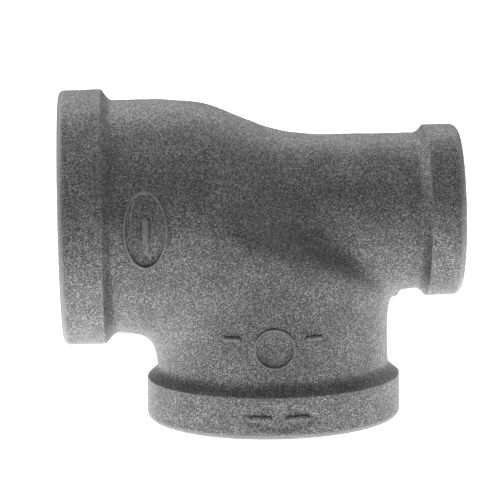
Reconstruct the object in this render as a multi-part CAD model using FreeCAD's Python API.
"""Reducing pipe tee, a banded malleable-iron casting with three tapped ends.

Frame: millimetres, +Z up. The tee stands on its branch outlet. The origin is the centre of the branch
end face, the branch axis is +Z, and the run axis lies along X at the height branch_centre_to_end. The
large run end points to -X and the small run end to +X. The casting is the same in front and behind the
XZ plane.

The fitting is one casting. Its outer skin and its waterway are one smooth shape at two sizes: a large
barrel that turns from the run into the branch like a mitred elbow, drawn in at its outer corner by a
sloping shoulder, from which the small barrel leaves. The shoulder is round about the run at the top and
flat at the small barrel's underside. The blends between them are worked out as a field of signed
distance, and the skin is laid through points where that field is zero.
"""

import FreeCAD
import Part
import math
import os

Vector = FreeCAD.Vector
INCH = 25.4

# ---- lengths of the three ends, from the crossing of the axes to each end face
large_centre_to_end = 45.0
small_centre_to_end = 40.6
branch_centre_to_end = 44.0

# ---- taper pipe threads, inch sizes 1-1/4 and 3/4
thread_taper = 1.0 / 32.0  # change of radius for each unit of length
thread_flank = 30.0  # degrees between a flank and a plane square to the axis
large_thread_pitch = INCH / 11.5
large_thread_root_radius = 21.17  # at the end face
large_thread_depth = 1.65  # from the root at the end face to the straight crest
large_thread_length = 17.3
small_thread_pitch = INCH / 14.0
small_thread_root_radius = 13.25
small_thread_depth = 1.35
small_thread_length = 14.0
thread_root_flat = 0.15  # width of the flat at the bottom of the groove
mouth_land = 0.15  # countersink radius beyond the thread's root radius
crest_sectors = 8  # the straight crest wall is bored in this many equal sectors

# ---- barrels, built outwards from the threads
waterway_gap = 0.34  # how far the waterway lies outside the thread's root radius
large_wall = 3.4
small_wall = 3.2
large_barrel_radius = large_thread_root_radius + waterway_gap + large_wall
small_barrel_radius = small_thread_root_radius + waterway_gap + small_wall

# ---- bands, the thickened rings at the ends
large_band_rise = 2.6  # how far a band stands out from its barrel
large_band_width = 9.0
large_band_round = 1.3  # outer edge of the end face
small_band_rise = 1.85
small_band_width = 7.5
small_band_round = 2.0
band_back_round = 0.6  # edge where the band turns into its sloping back
band_root_round = 1.6  # hollow where the sloping back meets the barrel
band_back_angle = 40.0  # degrees between the sloping back and the end face
band_root_sink = 0.12  # how far the hollow runs under the barrel, so that they cross cleanly

# ---- shoulder between the large barrel and the small one, whose outline is a slightly crowned arc
shoulder_over_run = -14.3  # X where the shoulder meets the top line of the large barrel
shoulder_under_small = 1.4  # how far under the small barrel the shoulder meets the branch
shoulder_crown_radius = 97.0
top_convex_blend = 7.0  # width of the blend that rounds the shoulder at the top of the run
top_hollow_blend = 14.0  # width of the blend from the shoulder to the small barrel at the top
low_convex_blend = 2.0  # the same two at the crotch under the small barrel
low_hollow_blend = 9.0
front_convex_blend = 5.0  # what both kinds gain towards the front and the back of the fitting
front_hollow_blend = 9.0
closing_below = 30.0  # from this far under the crossing to
closing_above = 14.0  # this far over it, the shoulder turns from flat to round about the run
front_draw = 1.07  # how much sooner the round shoulder starts at the front than at the top
crotch_blend = 11.5  # width of the blend between the large run and the branch
mitre_blend = 9.0  # width of the blend along the outer mitre, between the run and the branch

# ---- how finely the skin is laid
rows_along = 18
rows_around = 22
bisections = 34


class Form:
    """The sizes of one smooth tee shape, the outer skin or the waterway a wall inside it."""

    def __init__(self, large_inset, small_inset, large_end, small_end, branch_end):
        self.large = large_barrel_radius - large_inset
        self.small = small_barrel_radius - small_inset
        self.large_end = large_end
        self.small_end = small_end
        self.branch_end = branch_end
        self.crown_x, self.crown_z = crown_centre()
        self.crown_radius = shoulder_crown_radius - large_inset


def crown_centre():
    """Centre of the shoulder's crown, from where its arc meets the top line and the branch's side."""
    top = (shoulder_over_run, large_barrel_radius)
    side = (large_barrel_radius, -small_barrel_radius - shoulder_under_small)
    across = side[0] - top[0]
    down = side[1] - top[1]
    chord = math.hypot(across, down)
    back = math.sqrt(shoulder_crown_radius**2 - chord**2 / 4.0)
    x = (top[0] + side[0]) / 2.0 + back * down / chord
    z = (top[1] + side[1]) / 2.0 - back * across / chord
    return x, z


def joined(a, b, width):
    """Signed distance of two shapes joined, with a hollow of this width where they meet."""
    near = max(width - abs(a - b), 0.0) / width
    return min(a, b) - near**3 * width / 6.0


def shared(a, b, width):
    """Signed distance of what two shapes share, with their common edge rounded over this width."""
    return -joined(-a, -b, width)


def smooth_step(share):
    """Passes smoothly from 0 to 1 as the share does, and stays there outside that range."""
    share = min(max(share, 0.0), 1.0)
    return share * share * (3.0 - 2.0 * share)


def elbow_distance(form, x, y, z):
    """The large barrel turning from the run into the branch, mitred at the corner of the two axes."""
    run = math.hypot(y, z) - form.large
    branch = math.hypot(x, y) - form.large
    corner = min(abs(x), abs(z)) / (0.5 * form.large)
    near = min(1.0, max(corner, 1e-6))
    if z >= 0.0:
        return shared(run, branch, mitre_blend * near) if x >= 0.0 else run
    return branch if x >= 0.0 else joined(run, branch, crotch_blend * near)


def skin_distance(form, x, y, z):
    """Signed distance to the whole shape from a point given from the crossing of the axes."""
    height = smooth_step((z + form.small) / (form.large + form.small))
    convex = low_convex_blend + (top_convex_blend - low_convex_blend) * height
    hollow = low_hollow_blend + (top_hollow_blend - low_hollow_blend) * height
    front = (y / form.large) ** 2
    convex += front_convex_blend * front
    hollow += front_hollow_blend * front
    around = smooth_step((z + closing_below) / (closing_below + closing_above))
    rise = math.hypot(max(z, 0.0), front_draw * around * y) + min(z, 0.0)
    shoulder = math.hypot(x - form.crown_x, rise - form.crown_z) - form.crown_radius
    body = shared(elbow_distance(form, x, y, z), shoulder, convex)
    return joined(body, math.hypot(y, z) - form.small, hollow)


def skin_point(form, start, direction):
    """Where a ray from a point inside the shape leaves it, found by halving."""
    near = 0.5 * form.small
    far = 2.0 * form.large
    for _ in range(bisections):
        middle = (near + far) / 2.0
        at = start + direction * middle
        if skin_distance(form, at.x, at.y, at.z) < 0.0:
            near = middle
        else:
            far = middle
    return start + direction * near


def seam_points(form, across, down):
    """Points of the skin, front to back, in the plane that holds the Y axis and this direction."""
    length = math.hypot(across, down)
    points = []
    for j in range(rows_around + 1):
        turn = math.pi * j / rows_around
        outward = round(math.sin(turn), 12) / length
        ray = Vector(across * outward, -math.cos(turn), down * outward)
        points.append(skin_point(form, Vector(0, 0, 0), ray))
    return points


def run_patch(form, seam, end):
    """Grid of skin points on lines along the run, from an end plane to a seam."""
    grid = []
    for meet in seam:
        ray = Vector(0, meet.y, meet.z).normalize()
        line = []
        for i in range(rows_along):
            x = end + (meet.x - end) * i / rows_along
            line.append(skin_point(form, Vector(x, 0, 0), ray))
        grid.append(line + [meet])
    return grid


def branch_patch(form, seam, end):
    """Grid of skin points on lines along the branch, from its end plane up to a seam."""
    grid = []
    for meet in seam:
        ray = Vector(meet.x, meet.y, 0).normalize()
        line = []
        for i in range(rows_along):
            z = end + (meet.z - end) * i / rows_along
            line.append(skin_point(form, Vector(0, 0, z), ray))
        grid.append(line + [meet])
    return grid


def bend_weights(knots, at):
    """Values at one parameter of the cubic spline's basis functions on these knots."""
    count = len(knots) - 4
    span = 3
    while span < count - 1 and at >= knots[span + 1]:
        span += 1
    weights = [0.0] * (len(knots) - 1)
    weights[span] = 1.0
    for degree in (1, 2, 3):
        for i in range(len(knots) - 1 - degree):
            rise = knots[i + degree] - knots[i]
            fall = knots[i + degree + 1] - knots[i + 1]
            first = (at - knots[i]) / rise * weights[i] if rise else 0.0
            second = (knots[i + degree + 1] - at) / fall * weights[i + 1] if fall else 0.0
            weights[i] = first + second
    return weights[:count]


def spline_through(rows):
    """Control rows of the even cubic spline that passes through these rows of numbers."""
    last = len(rows) - 1
    knots = [0.0] * 4 + [float(k) for k in range(2, last - 1)] + [float(last)] * 4
    system = [bend_weights(knots, float(k)) + list(row) for k, row in enumerate(rows)]
    size = len(rows)
    for pivot in range(size):
        best = max(range(pivot, size), key=lambda k: abs(system[k][pivot]))
        system[pivot], system[best] = system[best], system[pivot]
        head = system[pivot]
        for k in range(size):
            share = system[k][pivot] / head[pivot]
            if k != pivot and share:
                system[k] = [mine - share * its for mine, its in zip(system[k], head)]
    return [[value / system[k][k] for value in system[k][size:]] for k in range(size)]


def spline_knots(points):
    """Knots and multiplicities of the even cubic spline through this many points."""
    last = points - 1
    inner = list(range(2, last - 1))
    return [0.0] + [float(k) for k in inner] + [float(last)], [4] + [1] * len(inner) + [4]


def spline_face(grid):
    """A face laid through a grid of points, the same along an edge whatever lies beside it."""
    along = spline_through([[c for p in line for c in (p.x, p.y, p.z)] for line in grid])
    poles = []
    for line in along:
        points = [line[k : k + 3] for k in range(0, len(line), 3)]
        poles.append([Vector(*p) for p in spline_through(points)])
    knots_u, mults_u = spline_knots(len(grid))
    knots_v, mults_v = spline_knots(len(grid[0]))
    surface = Part.BSplineSurface()
    surface.buildFromPolesMultsKnots(
        poles, mults_u, mults_v, knots_u, knots_v, False, False, 3, 3
    )
    return surface.toShape()


def end_disc(faces, centre, normal):
    """The flat disc that closes an end, bounded by the faces' own edges in that plane."""
    rim = []
    for face in faces:
        for edge in face.Edges:
            middle = edge.valueAt((edge.FirstParameter + edge.LastParameter) / 2.0)
            ends = [vertex.Point for vertex in edge.Vertexes] + [middle]
            if all(abs((point - centre).dot(normal)) < 1e-6 for point in ends):
                rim.append(edge)
    return Part.Face(Part.Wire(Part.__sortEdges__(rim)))


def tee_form(form):
    """The smooth tee shape as a closed solid, from six patches of skin and a disc at each end."""
    over = seam_points(form, 0.0, 1.0)
    left = seam_points(form, -1.0, -1.0)
    right = seam_points(form, form.large, -form.small)
    faces = [
        spline_face(run_patch(form, over, -form.large_end)),
        spline_face(run_patch(form, left, -form.large_end)),
        spline_face(run_patch(form, over, form.small_end)),
        spline_face(run_patch(form, right, form.small_end)),
        spline_face(branch_patch(form, left, -form.branch_end)),
        spline_face(branch_patch(form, right, -form.branch_end)),
    ]
    discs = [
        end_disc(faces, Vector(-form.large_end, 0, 0), Vector(1, 0, 0)),
        end_disc(faces, Vector(form.small_end, 0, 0), Vector(1, 0, 0)),
        end_disc(faces, Vector(0, 0, -form.branch_end), Vector(0, 0, 1)),
    ]
    skin = Part.makeCompound(faces + discs)
    skin.sewShape(0.01)
    solid = Part.Solid(skin.Shells[0])
    if solid.Volume < 0.0:
        solid.reverse()
    return solid


class End:
    """One end of the fitting: where its face lies, and the sizes of its band and thread."""

    def __init__(self, face_centre, inward, large):
        self.face_centre = face_centre
        self.inward = inward
        self.barrel_radius = large_barrel_radius if large else small_barrel_radius
        self.band_radius = self.barrel_radius + (large_band_rise if large else small_band_rise)
        self.band_width = large_band_width if large else small_band_width
        self.band_round = large_band_round if large else small_band_round
        self.pitch = large_thread_pitch if large else small_thread_pitch
        self.root = large_thread_root_radius if large else small_thread_root_radius
        self.crest = self.root - (large_thread_depth if large else small_thread_depth)
        self.thread_length = large_thread_length if large else small_thread_length

    def placed(self, shape):
        """Moves a shape made with its end face on z = 0 and its depth along +Z to this end."""
        turn = FreeCAD.Rotation(Vector(0, 0, 1), self.inward)
        shape.Placement = FreeCAD.Placement(self.face_centre, turn).multiply(shape.Placement)
        return shape


def spun(edges):
    """The solid made by turning a closed profile in the XZ plane about the Z axis."""
    return Part.Face(Part.Wire(edges)).revolve(Vector(0, 0, 0), Vector(0, 0, 1), 360)


def line(start, finish):
    """A straight edge between two (radius, depth) points."""
    return Part.makeLine(Vector(start[0], 0, start[1]), Vector(finish[0], 0, finish[1]))


def arc(centre, radius, first, last):
    """An edge round a (radius, depth) centre between two angles in degrees, 0 pointing outwards."""
    points = []
    for angle in (first, (first + last) / 2.0, last):
        turn = math.radians(angle)
        across = centre[0] + radius * math.cos(turn)
        points.append(Vector(across, 0, centre[1] + radius * math.sin(turn)))
    return Part.Arc(*points).toShape()


def start_of(edge):
    """The (radius, depth) of an edge's first point."""
    point = edge.valueAt(edge.FirstParameter)
    return point.x, point.z


def end_of(edge):
    """The (radius, depth) of an edge's last point."""
    point = edge.valueAt(edge.LastParameter)
    return point.x, point.z


def band(end):
    """The thickened ring at an end, with its sloping back and the hollow at the back's root, unbored."""
    lean = 90.0 - band_back_angle
    front = arc(
        (end.band_radius - end.band_round, end.band_round), end.band_round, -90.0, 0.0
    )
    edge_depth = end.band_width - band_back_round * math.tan(math.radians(lean / 2.0))
    back = arc((end.band_radius - band_back_round, edge_depth), band_back_round, 0.0, lean)
    sunk = end.barrel_radius - band_root_sink
    turn = math.radians(lean)
    hollow_radius = sunk + band_root_round
    tangent = hollow_radius - band_root_round * math.cos(turn)
    slope_start = end_of(back)
    slope = math.tan(math.radians(band_back_angle))
    root_start = slope_start[1] + (slope_start[0] - tangent) * slope
    hollow_depth = root_start + band_root_round * math.sin(turn)
    hollow = arc((hollow_radius, hollow_depth), band_root_round, 180.0 + lean, 180.0)
    return spun([
        line((0.0, 0.0), start_of(front)),
        front,
        line(end_of(front), start_of(back)),
        back,
        line(slope_start, start_of(hollow)),
        hollow,
        line(end_of(hollow), (0.0, hollow_depth)),
        line((0.0, hollow_depth), (0.0, 0.0)),
    ])


def bore_sectors(end):
    """The straight bore at the thread's crest with its countersunk mouth, as equal sectors."""
    mouth = end.root + mouth_land
    over = 1.0
    depth = mouth - end.crest
    past = end.thread_length + over
    outline = [(0, -over), (mouth + over, -over), (end.crest, depth), (end.crest, past), (0, past)]
    points = [Vector(r, 0, z) for r, z in outline + outline[:1]]
    profile = Part.Face(Part.makePolygon(points))
    share = 360.0 / crest_sectors
    sector = profile.revolve(Vector(0, 0, 0), Vector(0, 0, 1), share)
    sectors = []
    for k in range(crest_sectors):
        copy = sector.copy()
        copy.rotate(Vector(0, 0, 0), Vector(0, 0, 1), share * k)
        sectors.append(copy)
    return sectors


def thread_groove(end):
    """The helical groove between the thread's ridges, a V that follows the taper of the pipe."""
    lead = 1.2 * end.pitch
    turns = (end.thread_length + lead) / end.pitch + 0.5
    root = end.root + thread_taper * lead
    widen = math.tan(math.radians(thread_flank))
    widest = 0.96 * end.pitch
    inner = root - (widest - thread_root_flat) / (2.0 * widen)
    outline = [
        Vector(root, 0, -thread_root_flat / 2.0),
        Vector(root, 0, thread_root_flat / 2.0),
        Vector(inner, 0, widest / 2.0),
        Vector(inner, 0, -widest / 2.0),
    ]
    profile = Part.makePolygon(outline + outline[:1])
    taper_angle = math.degrees(math.atan(thread_taper))
    helix = Part.makeLongHelix(end.pitch, turns * end.pitch, root, -taper_angle)
    groove = Part.Wire(helix.Edges).makePipeShell([profile], True, True)
    groove.translate(Vector(0, 0, -lead))
    return groove


def tee_casting():
    """The whole casting: skin and bands, less the waterway, the bores and the thread grooves."""
    ends = [
        End(Vector(-large_centre_to_end, 0, 0), Vector(1, 0, 0), True),
        End(Vector(small_centre_to_end, 0, 0), Vector(-1, 0, 0), False),
        End(Vector(0, 0, -branch_centre_to_end), Vector(0, 0, 1), True),
    ]
    skin = Form(
        0.0,
        0.0,
        large_centre_to_end - large_band_width / 2.0,
        small_centre_to_end - small_band_width / 2.0,
        branch_centre_to_end - large_band_width / 2.0,
    )
    waterway = Form(
        large_wall,
        small_wall,
        large_centre_to_end - large_thread_length,
        small_centre_to_end - small_thread_length,
        branch_centre_to_end - large_thread_length,
    )
    casting = tee_form(skin).fuse([end.placed(band(end)) for end in ends])
    casting = casting.cut(tee_form(waterway))
    for end in ends:
        casting = casting.cut([end.placed(sector) for sector in bore_sectors(end)])
        casting = casting.cut(end.placed(thread_groove(end)))
    casting.translate(Vector(0, 0, branch_centre_to_end))
    return casting.Solids[0]


os.makedirs("parts", exist_ok=True)
tee_casting().exportStep("parts/tee_casting.step")
